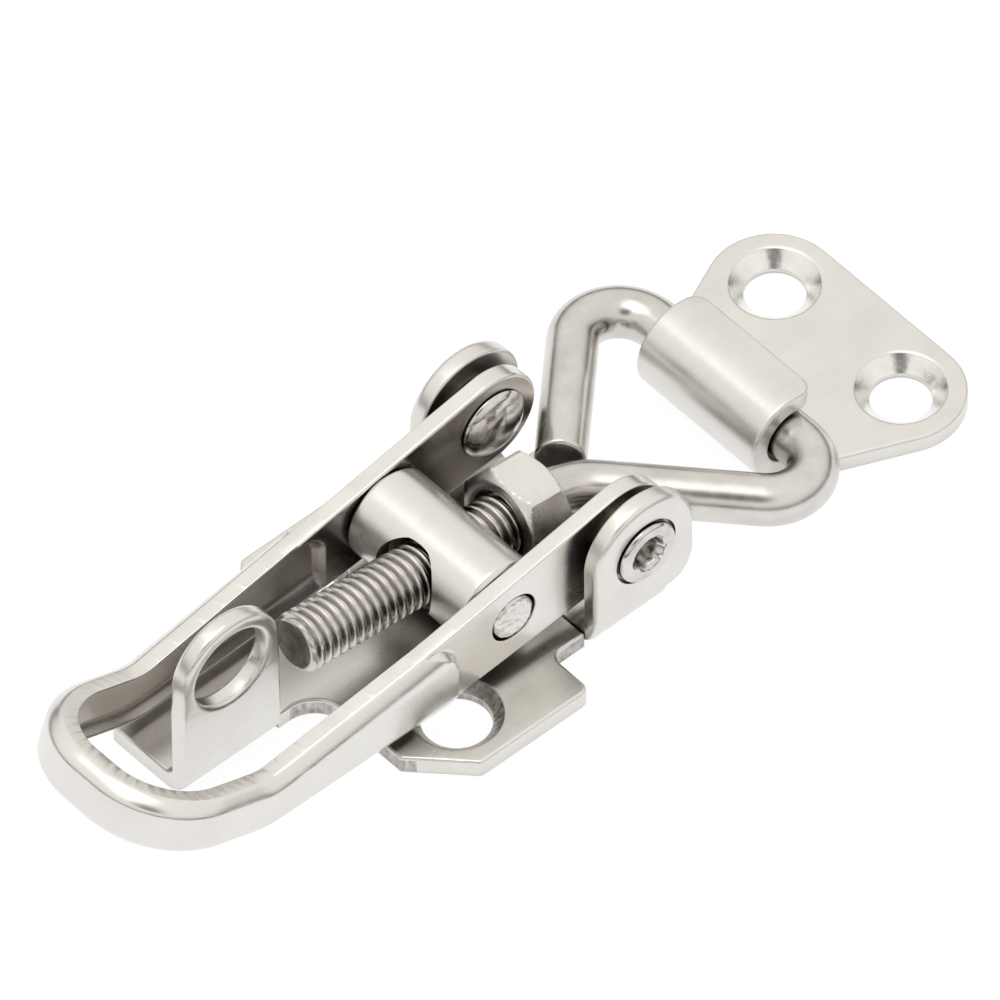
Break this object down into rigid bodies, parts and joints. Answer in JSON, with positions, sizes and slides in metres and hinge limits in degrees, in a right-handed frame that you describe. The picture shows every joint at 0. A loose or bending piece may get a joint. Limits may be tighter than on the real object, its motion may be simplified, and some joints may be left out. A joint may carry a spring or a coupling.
{
  "type": "toggle bolt latch",
  "caption": "Lever-operated toggle latch with a threaded triangular bail that hooks into a screwed-on catch plate and pulls it tight; padlock lug inside the handle loop.",
  "frame": {"origin": "on the mounting plane, midway between the two screw holes of the base plate", "axes": "+X along the pull, from the base plate towards the catch plate; +Z away from the mounting plane; the padlock lug's flat side faces -Y"},
  "size_m": [0.0991, 0.0336, 0.0198],
  "materials": {
    "pressed_sheet": "tumble-polished stainless sheet",
    "handle_sheet": "tumble-polished stainless sheet",
    "rivet": "polished stainless",
    "turned_bar": "fine-turned stainless",
    "drawn_rod": "bright drawn stainless",
    "nut": "satin stainless"
  },
  "bodies": {
    "base": {"base_plate": "pressed_sheet", "pivot_rivet_left": "rivet", "pivot_rivet_right": "rivet"},
    "handle": {"lever_handle": "handle_sheet"},
    "trunnion": {"trunnion_barrel": "turned_bar"},
    "bail": {"bail_rod": "drawn_rod"},
    "nut": {"lock_nut": "nut"},
    "catch": {"catch_plate": "pressed_sheet"}
  },
  "joints": [
    {"name": "handle_pivot", "type": "hinge", "parent": "base", "child": "handle", "pos_m": [0.021, 0, 0.0102], "axis": [0, 1, 0], "range_deg": [0, 150]},
    {"name": "trunnion_turn", "type": "hinge", "parent": "handle", "child": "trunnion", "pos_m": [0.0077, 0, 0.0086], "axis": [0, 1, 0], "range_deg": [-150, 0]},
    {"name": "rod_adjustment", "type": "slide", "parent": "trunnion", "child": "bail", "axis": [0.9943, 0, -0.1064], "range_m": [-0.0011, 0.001]},
    {"name": "nut_travel", "type": "slide", "parent": "bail", "child": "nut", "axis": [-0.9943, 0, 0.1064], "range_m": [0, 0.0009]},
    {"name": "catch_swing", "type": "hinge", "parent": "bail", "child": "catch", "pos_m": [0.0433, 0, 0.0048], "axis": [0, -1, 0], "range_deg": [0, 60]}
  ],
  "couplings": [
    {"joint": "trunnion_turn", "follows": "handle_pivot", "ratio": -1}
  ]
}
